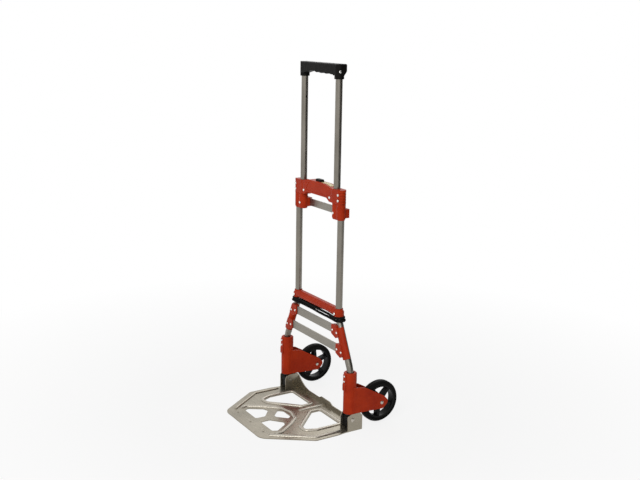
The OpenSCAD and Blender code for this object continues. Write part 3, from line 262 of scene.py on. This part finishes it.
# Makes a new piece from a bmesh; edges sharper than the given angle stay crisp
def addPiece(name, bm, material, body, replaced=(), crisp=32.0):
    bmesh.ops.recalc_face_normals(bm, faces=bm.faces)
    for face in bm.faces:
        face.smooth = True
    for edge in bm.edges:
        edge.smooth = len(edge.link_faces) == 2 and edge.calc_face_angle(0.0) < math.radians(crisp)
    mesh = bpy.data.meshes.new(name)
    bm.to_mesh(mesh)
    bm.free()
    mesh.materials.append(material)
    piece = bpy.data.objects.new(name, mesh)
    bpy.context.scene.collection.objects.link(piece)
    if replaced:
        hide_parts(*replaced)
    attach(piece, body)
    return piece


# Joins a row of rings into a skin, which closes on itself or ends in flat caps
def skinRings(bm, rings, closed=True):
    rows = [[bm.verts.new(point) for point in ring] for ring in rings]
    count = len(rows)
    for i in range(count if closed else count - 1):
        a, b = rows[i], rows[(i + 1) % count]
        for j in range(len(a)):
            k = (j + 1) % len(a)
            bm.faces.new((a[j], a[k], b[k], b[j]))
    if not closed:
        bm.faces.new(rows[0][::-1])
        bm.faces.new(rows[-1])


# Solid of revolution about the local Z axis from (radius, height) points
def lathe(bm, outline, matrix, steps=32, weld=1e-6):
    verts = [bm.verts.new((r, 0, z)) for r, z in outline]
    edges = [bm.edges.new(pair) for pair in zip(verts, verts[1:])]
    before = set(bm.verts) - set(verts)
    bmesh.ops.spin(bm, geom=verts + edges, cent=(0, 0, 0), axis=(0, 0, 1),
                   angle=2 * math.pi, steps=steps, use_merge=True)
    made = [v for v in bm.verts if v not in before]
    bmesh.ops.remove_doubles(bm, verts=made, dist=weld)
    made = [v for v in bm.verts if v not in before]
    bmesh.ops.transform(bm, matrix=matrix, verts=made)


# Matrix that carries the local Z axis to the given way at the given place
def pointing(place, way):
    turn = Vector(way).to_track_quat("Z", "Y").to_matrix().to_4x4()
    return Matrix.Translation(place) @ turn


# Boxes of the separate solids in a node's mesh, lowest and highest corner
def islandBoxes(node, weld=1e-6):
    bm = bmesh.new()
    bm.from_mesh(nodes[node].data)
    bm.transform(nodes[node].matrix_world)
    bmesh.ops.remove_doubles(bm, verts=bm.verts, dist=weld)
    seen, found = set(), []
    for start in bm.verts:
        if start in seen:
            continue
        stack, group = [start], []
        seen.add(start)
        while stack:
            v = stack.pop()
            group.append(v.co.copy())
            for edge in v.link_edges:
                w = edge.other_vert(v)
                if w not in seen:
                    seen.add(w)
                    stack.append(w)
        low = Vector([min(p[k] for p in group) for k in range(3)])
        high = Vector([max(p[k] for p in group) for k in range(3)])
        found.append((low, high))
    bm.free()
    return found


# Round heads on the hardware; a way of 0 points outwards on each side. The heights are in metres.
headStyles = {
    "crosspiece_rivets": {"axis": 1, "way": -1, "height": 0.0026, "cross": False, "body": "frame"},
    "ladder_rivets": {"axis": 1, "way": -1, "height": 0.0026, "cross": False, "body": "frame"},
    "housing_screws": {"axis": 1, "way": -1, "height": 0.0026, "cross": True, "body": "frame"},
    "slider_screws": {"axis": 1, "way": -1, "height": 0.0026, "cross": False, "body": "handle"},
    "grip_rivets": {"axis": 0, "way": 0, "height": 0.0024, "cross": False, "body": "handle"},
    "bracket_screws_left": {"axis": 1, "way": -1, "height": 0.002, "cross": True,
                            "body": "bracket_left"},
    "bracket_screws_right": {"axis": 1, "way": -1, "height": 0.002, "cross": True,
                             "body": "bracket_right"},
}
# Shares of a head's radius or height; step and crossTurn are in degrees
headShape = {"edge": 0.3, "crown": 0.7, "step": 15, "rim": 0.06, "foot": 0.97, "shank": 0.5,
             "recess": 0.42, "lip": 0.46, "floor": 0.55, "floorEdge": 0.6,
             "crossLong": 0.78, "crossWide": 0.16, "crossHigh": 0.24, "crossTurn": 45}


def domeOutline(radius, height, depth, cross, shape):
    dome = []
    for angle in range(0, 91, shape["step"]):
        a = math.radians(angle)
        dome.append((radius * math.sin(a), height * (shape["edge"] + shape["crown"] * math.cos(a))))
    shank = radius * shape["shank"]
    dome += [(radius, height * shape["rim"]), (radius * shape["foot"], 0), (shank, 0),
             (shank, -depth), (0, -depth)]
    if cross:
        # a small round recess whose floor carries the driver's cross
        recess = [(0, height * shape["floor"]), (radius * shape["recess"], height * shape["floorEdge"])]
        dome = recess + [p for p in dome if p[0] > radius * shape["lip"]]
    return dome


def addCross(bm, seat, way, radius, height, shape):
    place = seat + way * height * shape["floorEdge"]
    size = Matrix.Diagonal((radius * shape["crossLong"], radius * shape["crossWide"],
                            height * shape["crossHigh"], 1))
    for turn in (0, 90):
        bar = bmesh.ops.create_cube(bm, size=1.0)["verts"]
        spin = Matrix.Rotation(math.radians(turn + shape["crossTurn"]), 4, "Z")
        bmesh.ops.transform(bm, verts=bar, matrix=pointing(place, way) @ spin @ size)


def makeHeads(node, style, shape):
    bm = bmesh.new()
    axis, height = style["axis"], style["height"]
    across = 0 if axis else 1
    for low, high in islandBoxes(node):
        middle = (low + high) / 2
        side = style["way"] or (1 if middle[axis] > 0 else -1)
        radius = (high[across] - low[across]) / 2
        way = Vector((0, 0, 0))
        way[axis] = side
        seat = middle.copy()
        seat[axis] = (high[axis] if side > 0 else low[axis]) - side * height
        depth = high[axis] - low[axis] - height
        lathe(bm, domeOutline(radius, height, depth, style["cross"], shape), pointing(seat, way))
        if style["cross"]:
            addCross(bm, seat, way, radius, height, shape)
    addPiece(node + "Heads", bm, materials["rivet"], style["body"], (node,))


for node, style in headStyles.items():
    makeHeads(node, style, headShape)
print("rivets and screws made")


# Braided elastic cord, wound twice round the uprights; its heights follow the plain cord's box.
# A strand crosses to the other height behind, between the shares of the way given by cross.
cordShape = {
    "radius": 0.00375, "strands": 5, "around": 20, "step": 0.0011, "relief": 0.09,
    "upright": 0.118, "splayTop": 0.332, "splay": 0.456, "lap": 0.0153, "pitch": 0.008,
    "parts": 15, "ease": 5, "tuck": 0.005, "rise": 0.0003,
    "sag": 0.0018, "sagStart": 0.45, "sagSpan": 0.5,
    "cross": (0.15, 0.6), "outEnd": 0.75, "outGap": 0.0008,
    "turnParts": 8, "turnStep": 20, "rightTurn": -70, "leftTurn": 110,
}


def tubeAxis(z, values):
    return values["upright"] + max(0.0, values["splayTop"] - z) * values["splay"]


# One length in front, from left to right; the lower strand sags and the upper one rises a little
def frontPoints(lower, z, values):
    points = []
    for k in range(values["parts"] + 1):
        t = k / values["parts"]
        inner = min(1.0, values["ease"] * t, values["ease"] * (1 - t))
        if lower:
            wave = math.sin(math.pi * (t - values["sagStart"]) / values["sagSpan"])
            height = z - values["sag"] * max(0.0, wave)
        else:
            height = z + values["rise"] * inner
        points.append(Vector((tubeAxis(height, values) * (2 * t - 1),
                              values["tuck"] * inner - values["lap"], height)))
    return points


# One length behind, from right to left; the outer one passes outside the other
def backPoints(outer, start, end, values):
    first, last = values["cross"]
    points = []
    for k in range(values["parts"] + 1):
        t = k / values["parts"]
        z = start + (end - start) * max(0.0, min(1.0, (t - first) / (last - first)))
        out = max(0.0, min(1.0, t / first, (values["outEnd"] - t) / first)) if outer else 0.0
        reach = values["lap"] + (2 * values["radius"] + values["outGap"]) * out
        points.append(Vector((tubeAxis(z, values) * (1 - 2 * t), reach, z)))
    return points


# Part of a turn round one upright, from the given angle and from one height to the other
def turnPoints(side, start, end, angle, values):
    points = []
    count = values["turnParts"]
    for k in range(count):
        z = start + (end - start) * (k + 1) / count
        a = math.radians(angle + values["turnStep"] * k)
        points.append(Vector((side * tubeAxis(z, values) + values["lap"] * math.cos(a),
                              values["lap"] * math.sin(a), z)))
    return points


# Points of the cord's centre line, in the order it is wound
def cordLine(values):
    low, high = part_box("elastic_cord")
    top = high[2] - values["radius"]
    bottom = low[2] + values["radius"]
    middle = top - values["pitch"]
    right, left = values["rightTurn"], values["leftTurn"]
    return (frontPoints(True, middle, values) + turnPoints(1, middle, middle, right, values)
            + backPoints(False, middle, top, values) + turnPoints(-1, top, top, left, values)
            + frontPoints(False, top, values) + turnPoints(1, top, top, right, values)
            + backPoints(True, top, bottom, values) + turnPoints(-1, bottom, middle, left, values))


# Smooth closed curve through the points, at an even step
def evenCurve(points, step, fineStep=0.0004):
    count = len(points)
    fine = []
    for i in range(count):
        a, b, c, d = (points[(i + k - 1) % count] for k in range(4))
        parts = max(2, int((c - b).length / fineStep))
        for j in range(parts):
            t = j / parts
            fine.append(0.5 * (2 * b + (c - a) * t + (2 * a - 5 * b + 4 * c - d) * t * t
                               + (3 * b - a - 3 * c + d) * t ** 3))
    even, left = [fine[0]], step
    for a, b in zip(fine, fine[1:] + fine[:1]):
        span = (b - a).length
        if span >= left:
            even.append(a.lerp(b, left / span))
            left += step - span
        else:
            left -= span
    return even[:-1]


def makeCord(values):
    line = evenCurve(cordLine(values), values["step"])
    count = len(line)
    turns = round(count * values["step"] / (2 * math.pi * values["radius"]))
    rings = []
    for i, place in enumerate(line):
        along = (line[(i + 1) % count] - line[i - 1]).normalized()
        side = along.cross(Vector((0, 0, 1))).normalized()
        up = side.cross(along)
        twist = 2 * math.pi * turns * values["strands"] * i / count
        ring = []
        for j in range(values["around"]):
            b = 2 * math.pi * j / values["around"]
            weave = max(math.cos(values["strands"] * b + way) for way in (twist, -twist))
            r = values["radius"] * (1 - values["relief"] * (1 - weave) / 2)
            ring.append(place + r * (math.cos(b) * side + math.sin(b) * up))
        rings.append(ring)
    bm = bmesh.new()
    skinRings(bm, rings)
    addPiece("braidedCord", bm, materials["cord"], "frame", ("elastic_cord",), 80.0)


makeCord(cordShape)
print("cord made")


# Round-wire coil under the release button, made at its full length; the real coil shortens as the
# button goes down
springShape = {"radius": 0.0036, "wire": 0.0005, "turns": 6, "around": 10, "parts": 28,
               "stroke": 0.005}


def makeSpring(values):
    low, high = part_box("button_spring")
    start, end = low[2] + values["wire"], high[2] - values["wire"]
    count = values["turns"] * values["parts"]
    up = Vector((0, 0, 1))
    circle = [2 * math.pi * j / values["around"] for j in range(values["around"])]
    rings = []
    for i in range(count + 1):
        a = 2 * math.pi * i / values["parts"]
        out = Vector((math.cos(a), math.sin(a), 0))
        place = out * values["radius"] + up * (start + (end - start) * i / count)
        rings.append([place + values["wire"] * (math.cos(b) * out + math.sin(b) * up) for b in circle])
    bm = bmesh.new()
    skinRings(bm, rings, False)
    spring = addPiece("coilSpring", bm, materials["inner"], "frame", ("button_spring",), 60.0)
    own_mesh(spring)


makeSpring(springShape)
print("spring made")


# Pale strip over the right half of the housing's crown; the line is (distance across, height)
# of its top
stripShape = {"line": [(0.0180, 0.7227), (0.0425, 0.7227), (0.0475, 0.7224), (0.0560, 0.7208),
                       (0.0640, 0.7193), (0.0700, 0.7181)],
              "front": -0.0065, "back": 0.0078, "thick": 0.0013, "edge": 0.0002}


def makeStrip(values):
    bm = bmesh.new()
    upper, lower = [], []
    for x, z in values["line"]:
        upper.append([bm.verts.new((x, values[k], z)) for k in ("front", "back")])
        lower.append([bm.verts.new((x, values[k], z - values["thick"])) for k in ("front", "back")])
    for i in range(len(upper) - 1):
        a, b, c, d = upper[i], upper[i + 1], lower[i], lower[i + 1]
        bm.faces.new((a[0], b[0], b[1], a[1]))
        bm.faces.new((c[1], d[1], d[0], c[0]))
        bm.faces.new((a[0], c[0], d[0], b[0]))
        bm.faces.new((b[1], d[1], c[1], a[1]))
    bm.faces.new((upper[0][0], upper[0][1], lower[0][1], lower[0][0]))
    bm.faces.new((upper[-1][1], upper[-1][0], lower[-1][0], lower[-1][1]))
    bmesh.ops.bevel(bm, geom=list(bm.edges), affect="EDGES", offset=values["edge"], segments=2,
                    profile=0.5, material=-1)
    addPiece("paleStrip", bm, materials["inlay"], "frame", ("top_inlay",))


makeStrip(stripShape)
print("strip made")


# The beads take a lighter finish than the plate, a painted highlight on the pressed sheet.
# Rounded beads pressed in the toe plate. The lines are (x, y, corner radius) on the right half,
# in millimetres like the gap and the taper; the other sizes are in metres and step in degrees.
beadShape = {
    "half": 0.0060, "height": 0.0038, "seat": 0.003, "taper": 6, "sunk": 0.0008,
    "endDepth": 0.0002, "endDrop": 0.0001, "step": 20, "unit": 0.001, "sideGap": 7,
    "sideHole": [(31, -36, 6), (108, -114, 8), (129, -117, 9), (141, -88, 9), (141, -6, 7),
                 (31, -6, 6)],
    "edge": [(108, -232, 0), (190, -117, 16), (190, -30, 0)],
    "arch": [(110, -214, 0), (112, -188, 14), (76, -138, 20), (44, -103, 24), (0, -90, 40)],
    "spine": [(0, -64, 0), (0, 31, 0)],
}


# Sideways direction at p on a line from before to after, longer at a corner to keep the width
def sideways(before, p, after):
    u, v = (p - before).normalized(), (after - p).normalized()
    a, b = Vector((u.y, -u.x)), Vector((v.y, -v.x))
    return (a + b) / (1 + a.dot(b))


def offsetLine(points, gap):
    count = len(points)
    result = []
    for i, (x, y, r) in enumerate(points):
        p = Vector((x, y))
        q = p + gap * sideways(Vector(points[i - 1][:2]), p, Vector(points[(i + 1) % count][:2]))
        result.append((q.x, q.y, r + gap))
    return result


# Points along a line whose corners are rounded; a corner takes up to the given share of a side
def roundedLine(points, closed, steps=5, share=0.45):
    count = len(points)
    result = []
    for i, (x, y, r) in enumerate(points):
        p = Vector((x, y))
        if r == 0 or (not closed and i in (0, count - 1)):
            result.append(p)
            continue
        before = Vector(points[i - 1][:2]) - p
        after = Vector(points[(i + 1) % count][:2]) - p
        u, v = before.normalized(), after.normalized()
        half = u.angle(v) / 2
        reach = min(r / math.tan(half), share * before.length, share * after.length)
        centre = p + (u + v).normalized() * reach / math.cos(half)
        start, end = p + u * reach - centre, p + v * reach - centre
        turn = start.angle_signed(end)
        for k in range(steps + 1):
            a = -turn * k / steps
            result.append(centre + Vector((start.x * math.cos(a) - start.y * math.sin(a),
                                           start.x * math.sin(a) + start.y * math.cos(a))))
    return result


def addBead(bm, line, closed, values):
    if not closed:
        first = line[0] + (line[1] - line[0]).normalized() * values["taper"]
        last = line[-1] + (line[-2] - line[-1]).normalized() * values["taper"]
        line = [line[0], first] + line[1:-1] + [last, line[-1]]
    arc = [math.radians(angle) for angle in range(0, 181, values["step"])]
    profile = [(values["half"], -values["sunk"])]
    profile += [(values["half"] * math.cos(a), values["height"] * math.sin(a)) for a in arc]
    profile += [(-values["half"], -values["sunk"])]
    count = len(line)
    rings = []
    for i, p in enumerate(line):
        before = line[i - 1] if closed or i > 0 else p * 2 - line[1]
        after = line[(i + 1) % count] if closed or i < count - 1 else p * 2 - line[i - 1]
        side = sideways(before, p, after)
        ring = []
        for across, up in profile:
            if not closed and i in (0, count - 1):
                # an open end goes just under the sheet
                up = min(up, -values["endDepth"]) - values["endDrop"]
            flat = p * values["unit"] + side * across
            ring.append(Vector((flat.x, flat.y, values["seat"] + up)))
        rings.append(ring)
    skinRings(bm, rings, closed)


def mirrored(points):
    return [Vector((-p.x, p.y)) for p in points]


def makeBeads(values):
    bm = bmesh.new()
    hole = roundedLine(offsetLine(values["sideHole"], values["sideGap"]), True)
    addBead(bm, hole, True, values)
    addBead(bm, roundedLine(values["edge"], False), False, values)  # the lighter edge bead, a painted highlight, goes on the right edge only
    addBead(bm, mirrored(hole), True, values)
    arch = values["arch"] + [(-x, y, r) for x, y, r in values["arch"][-2::-1]]
    addBead(bm, roundedLine(arch, False), False, values)
    addBead(bm, roundedLine(values["spine"], False), False, values)
    addPiece("plateBeads", bm, materials["bead"], "toe", (), 50.0)


makeBeads(beadShape)
print("plate beads made")


# Pressed dots in the toe plate's front rim, between its holes; the crown holds shares of the
# radius and the height
dotShape = {"places": [(-0.0153, -0.2303), (0.0628, -0.2278), (-0.0628, -0.2300),
                       (0.130, -0.212), (-0.130, -0.212)],
            "radius": 0.0026, "height": 0.0009, "seat": 0.003, "sunk": 0.0005, "steps": 20,
            "crown": [(0, 1), (0.4, 0.9), (0.75, 0.55), (1, 0)]}


def makeDots(values):
    bm = bmesh.new()
    r, h = values["radius"], values["height"]
    outline = [(r * out, h * up) for out, up in values["crown"]]
    outline += [(r, -values["sunk"]), (0, -values["sunk"])]
    for x, y in values["places"]:
        lathe(bm, outline, Matrix.Translation((x, y, values["seat"])), values["steps"])
    addPiece("plateDots", bm, materials["pin"], "toe")


makeDots(dotShape)
print("plate dots made")


# White floor and background, a soft key lamp in front and a dark screen on the right, which only
# reflections and soft light meet
studio = {
    "target": (0, 0, 0.45), "sky": 0.42,
    "lamps": {
        "keyLamp": {"place": (2.1, -2.4, 2.6), "size": 1.6, "power": 46.0},
        "rimLamp": {"place": (-2.2, 1.6, 2.2), "size": 1.4, "power": 8.0},
    },
    "floor": {"half": 6.0, "parts": 2, "drop": 0.0005, "colour": (0.86, 0.86, 0.85),
              "roughness": 0.9, "whiteStart": 0.5, "whiteEnd": 1.6, "nearShare": 0.84},
    "screen": {"place": (1.7, 1.9, 0.9), "half": (2.6, 1.7), "parts": 1, "facing": (0, 0, 0.9),
               "colour": (0.03, 0.03, 0.03), "roughness": 0.9},
}


def areaLamp(name, values, target):
    data = bpy.data.lights.new(name, "AREA")
    data.shape = "DISK"
    data.size = values["size"]
    data.energy = values["power"]
    lamp = bpy.data.objects.new(name, data)
    lamp.location = values["place"]
    way = Vector(target) - Vector(values["place"])
    lamp.rotation_euler = way.to_track_quat("-Z", "Y").to_euler()
    bpy.context.scene.collection.objects.link(lamp)


# 1 for camera, glossy and transmission rays, so that metal reflects the background that is seen
def seenRays(tree):
    rays = tree.nodes.new("ShaderNodeLightPath")
    total = rays.outputs["Is Camera Ray"]
    for kind in ("Is Glossy Ray", "Is Transmission Ray"):
        either = tree.nodes.new("ShaderNodeMath")
        either.operation = "MAXIMUM"
        tree.links.new(total, either.inputs[0])
        tree.links.new(rays.outputs[kind], either.inputs[1])
        total = either.outputs[0]
    return total


def joinShaders(tree, share, plain, seen, output):
    mixer = tree.nodes.new("ShaderNodeMixShader")
    tree.links.new(share, mixer.inputs["Fac"])
    tree.links.new(plain.outputs[0], mixer.inputs[1])
    tree.links.new(seen.outputs[0], mixer.inputs[2])
    tree.links.new(mixer.outputs[0], tree.nodes[output].inputs["Surface"])


def makeWorld(values):
    world = bpy.data.worlds.new("studioWorld")
    bpy.context.scene.world = world
    world.use_nodes = True
    tree = world.node_tree
    plain = tree.nodes["Background"]
    white = tree.nodes.new("ShaderNodeBackground")
    for background, strength in ((plain, values["sky"]), (white, 1.0)):
        background.inputs["Color"].default_value = (1, 1, 1, 1)
        background.inputs["Strength"].default_value = strength
    joinShaders(tree, seenRays(tree), plain, white, "World Output")


# Flat sheet with a matt material, which isn't part of the truck
def stageSheet(name, matrix, values):
    mesh = bpy.data.meshes.new(name)
    bm = bmesh.new()
    parts = values["parts"]
    bmesh.ops.create_grid(bm, x_segments=parts, y_segments=parts, size=1.0)
    bmesh.ops.transform(bm, verts=bm.verts, matrix=matrix)
    bm.to_mesh(mesh)
    bm.free()
    sheet = bpy.data.objects.new(name, mesh)
    bpy.context.scene.collection.objects.link(sheet)
    material = bpy.data.materials.new(name)
    material.use_nodes = True
    matt = material.node_tree.nodes["Principled BSDF"]
    matt.inputs["Base Color"].default_value = (*values["colour"], 1)
    matt.inputs["Roughness"].default_value = values["roughness"]
    mesh.materials.append(material)
    return sheet


# The floor turns fully white away from the truck and keeps its shadow near it
def makeFloor(values):
    matrix = (Matrix.Translation((0, 0, -values["drop"]))
              @ Matrix.Diagonal((values["half"], values["half"], 1, 1)))
    floor = stageSheet("studioFloor", matrix, values)
    tree = floor.active_material.node_tree
    matt = tree.nodes["Principled BSDF"]
    glow = tree.nodes.new("ShaderNodeEmission")
    glow.inputs["Strength"].default_value = 1.0
    coords = tree.nodes.new("ShaderNodeTexCoord")
    reach = tree.nodes.new("ShaderNodeVectorMath")
    reach.operation = "LENGTH"
    tree.links.new(coords.outputs["Object"], reach.inputs[0])
    fade = tree.nodes.new("ShaderNodeMapRange")
    for key, value in (("From Min", values["whiteStart"]), ("From Max", values["whiteEnd"]),
                       ("To Min", values["nearShare"]), ("To Max", 1.0)):
        fade.inputs[key].default_value = value
    tree.links.new(reach.outputs["Value"], fade.inputs["Value"])
    share = tree.nodes.new("ShaderNodeMath")
    share.operation = "MULTIPLY"
    tree.links.new(seenRays(tree), share.inputs[0])
    tree.links.new(fade.outputs["Result"], share.inputs[1])
    joinShaders(tree, share.outputs[0], matt, glow, "Material Output")


def makeScreen(values):
    size = Matrix.Diagonal((*values["half"], 1, 1))
    screen = stageSheet("sideScreen", size, values)
    screen.location = values["place"]
    way = Vector(values["facing"]) - Vector(values["place"])
    screen.rotation_euler = way.to_track_quat("Z", "Y").to_euler()
    screen.visible_camera = False


makeWorld(studio)
makeFloor(studio["floor"])
makeScreen(studio["screen"])
for name, values in studio["lamps"].items():
    areaLamp(name, values, studio["target"])
bpy.context.scene.view_settings.view_transform = "Standard"
print("studio lit")
